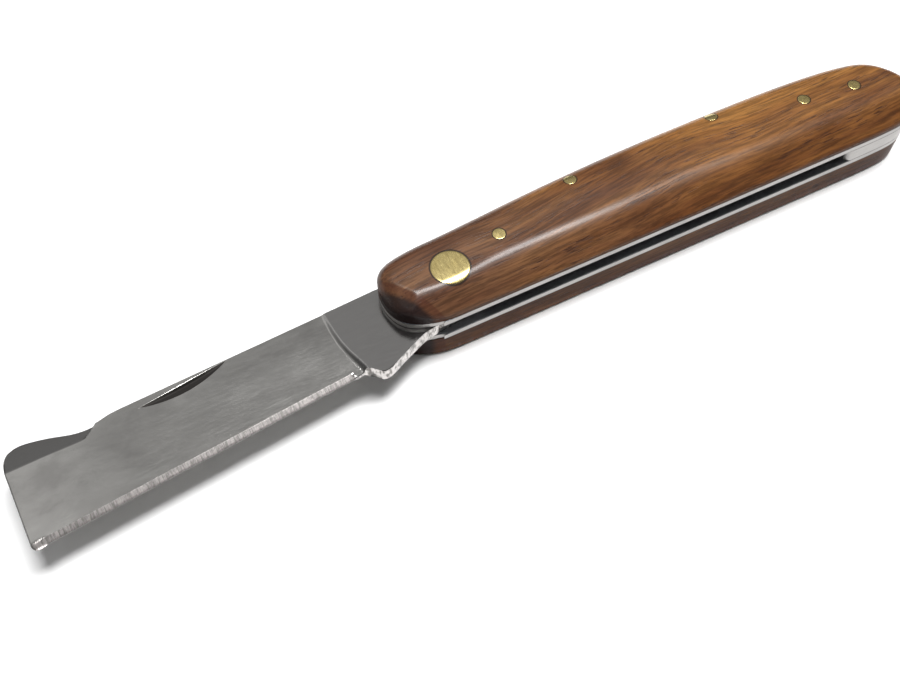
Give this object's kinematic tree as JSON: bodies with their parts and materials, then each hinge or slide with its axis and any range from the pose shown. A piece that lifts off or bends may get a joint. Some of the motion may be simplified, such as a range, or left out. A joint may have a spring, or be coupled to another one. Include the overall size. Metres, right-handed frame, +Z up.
{
  "type": "folding grafting knife",
  "caption": "Folding pocket knife for grafting and budding, with a straight-edged blade, a bark lifter on the blade's back and wooden scales on steel liners.",
  "frame": {"origin": "the blade's pivot axis, on the flat face of the far pivot head, which is the plane the knife lies on", "axes": "+X from the pivot to the butt, +Y from the belly to the back of the handle, +Z up through the stack from the far side to the near side"},
  "size_m": [0.1641, 0.0235, 0.0141],
  "materials": {
    "walnut": "satin varnish",
    "liner_steel": "brushed",
    "blade_steel": "fine ground satin",
    "brass": "polished flush"
  },
  "bodies": {
    "handle": {"wood_scale_near": "walnut", "wood_scale_far": "walnut", "liner_near": "liner_steel", "liner_far": "liner_steel", "back_spring": "liner_steel", "pivot_pin": "liner_steel", "pivot_head_near": "brass", "pivot_head_far": "brass", "spring_pin_front": "brass", "spring_pin_middle": "brass", "butt_pin": "brass", "front_rivet_near": "brass", "front_rivet_far": "brass", "rear_rivet_near": "brass", "rear_rivet_far": "brass"},
    "blade": {"blade": "blade_steel"}
  },
  "joints": [
    {"name": "blade_fold", "type": "hinge", "parent": "handle", "child": "blade", "pos_m": [0, 0, 0.007], "axis": [0, 0, 1], "range_deg": [0, 173], "deforming": ["back_spring"]}
  ]
}
